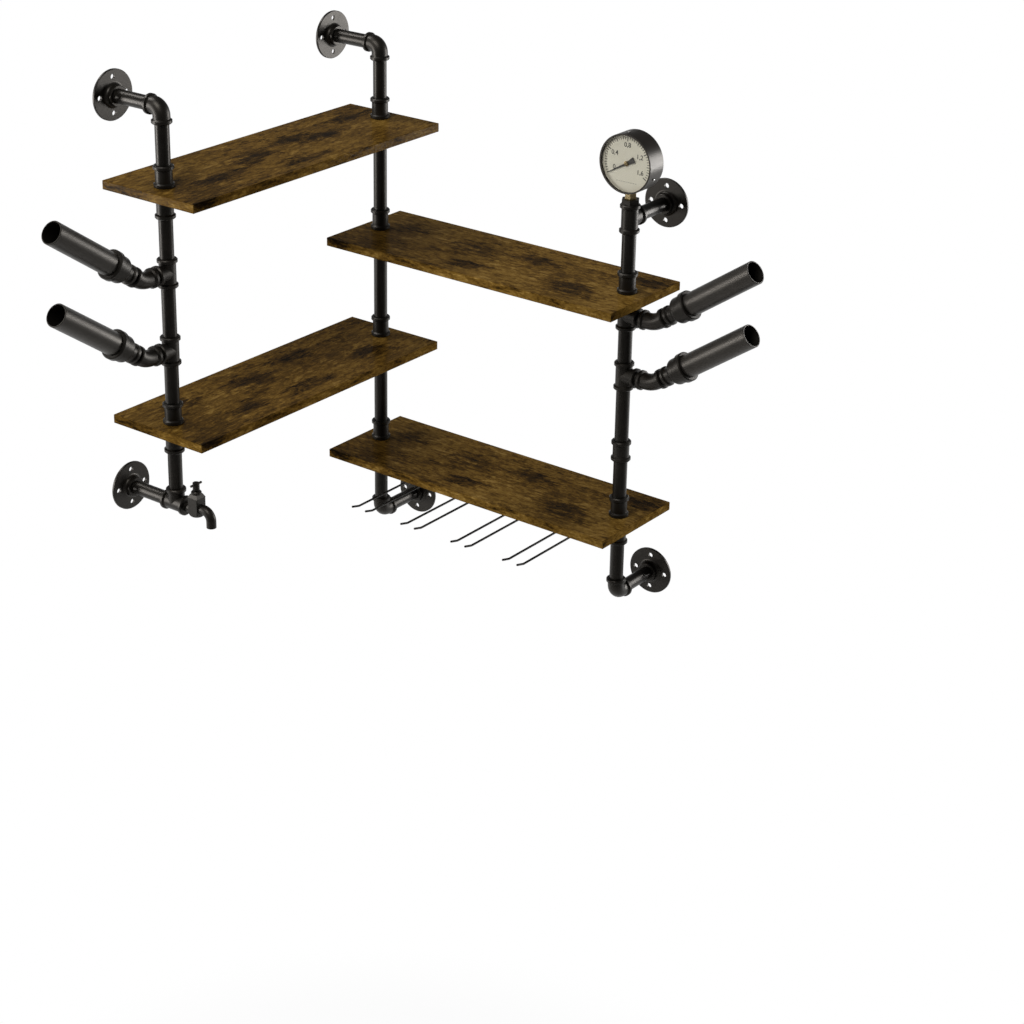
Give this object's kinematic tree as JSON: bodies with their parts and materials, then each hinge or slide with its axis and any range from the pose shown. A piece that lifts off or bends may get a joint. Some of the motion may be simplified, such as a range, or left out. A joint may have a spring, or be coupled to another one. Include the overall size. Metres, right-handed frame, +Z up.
{
  "type": "corner wine rack",
  "caption": "Corner wall rack of black pipe fittings and wooden boards, with slanted bottle-neck tubes, hanging rods for glasses, a pressure gauge and a small tap.",
  "frame": {"origin": "centre of the back face of the corner post's lower wall flange, on the right wall", "axes": "+X along the right wall away from the corner, +Y into the right wall, +Z up; the left wall is parallel to YZ"},
  "size_m": [0.8813, 0.8813, 0.957],
  "materials": {
    "black_metal": "satin black",
    "board": "semi-gloss rustic laminate",
    "brass": "satin",
    "dial": "matt",
    "washer": "matt",
    "window": "clear"
  },
  "bodies": {
    "rack": {"bottle_tube_left_lower": "black_metal", "bottle_tube_left_upper": "black_metal", "bottle_tube_right_lower": "black_metal", "bottle_tube_right_upper": "black_metal", "bourdon_tube": "brass", "couplings_corner_post": "black_metal", "couplings_left_post": "black_metal", "couplings_right_post": "black_metal", "elbow_corner_lower": "black_metal", "elbow_corner_upper": "black_metal", "elbow_left_upper": "black_metal", "elbow_right_lower": "black_metal", "flange_corner_lower": "black_metal", "flange_corner_upper": "black_metal", "flange_left_lower": "black_metal", "flange_left_upper": "black_metal", "flange_right_lower": "black_metal", "flange_right_upper": "black_metal", "gauge_bushing": "black_metal", "gauge_case": "black_metal", "gauge_dial": "dial", "gauge_movement": "brass", "gauge_socket": "brass", "gauge_window": "window", "glass_hanger_1": "black_metal", "glass_hanger_2": "black_metal", "glass_hanger_3": "black_metal", "glass_hanger_4": "black_metal", "holder_bend_left_lower": "black_metal", "holder_bend_left_upper": "black_metal", "holder_bend_right_lower": "black_metal", "holder_bend_right_upper": "black_metal", "holder_reducer_left_lower": "black_metal", "holder_reducer_left_upper": "black_metal", "holder_reducer_right_lower": "black_metal", "holder_reducer_right_upper": "black_metal", "post_pipes_corner": "black_metal", "post_pipes_left": "black_metal", "post_pipes_right": "black_metal", "shelf_lower_left": "board", "shelf_lower_right": "board", "shelf_upper_left": "board", "shelf_upper_right": "board", "stubs_left_wall": "black_metal", "stubs_right_wall": "black_metal", "tap_body": "black_metal", "tap_bonnet": "black_metal", "tap_gland_nut": "black_metal", "tee_gauge": "black_metal", "tee_holder_left_lower": "black_metal", "tee_holder_left_upper": "black_metal", "tee_holder_right_lower": "black_metal", "tee_holder_right_upper": "black_metal", "tee_tap": "black_metal"},
    "pointer": {"gauge_pointer": "black_metal", "pointer_arbor": "brass"},
    "tap_valve": {"tap_jumper": "washer"},
    "tap_stem": {"tap_spindle": "black_metal", "tap_handle": "black_metal"}
  },
  "joints": [
    {"name": "pointer_turn", "type": "hinge", "parent": "rack", "child": "pointer", "pos_m": [0.524, -0.1285, 0.76585], "axis": [0, 1, 0], "range_deg": [0, 240]},
    {"name": "tap_lift", "type": "slide", "parent": "rack", "child": "tap_valve", "axis": [0, 0, 1], "range_m": [0, 0.0045]},
    {"name": "tap_turn", "type": "hinge", "parent": "tap_valve", "child": "tap_stem", "pos_m": [0.0465, -0.6325, 0.2022], "axis": [0, 0, 1], "range_deg": [0, 810]}
  ],
  "couplings": [
    {"joint": "tap_turn", "follows": "tap_lift", "rad_per_m": 3141.6}
  ]
}
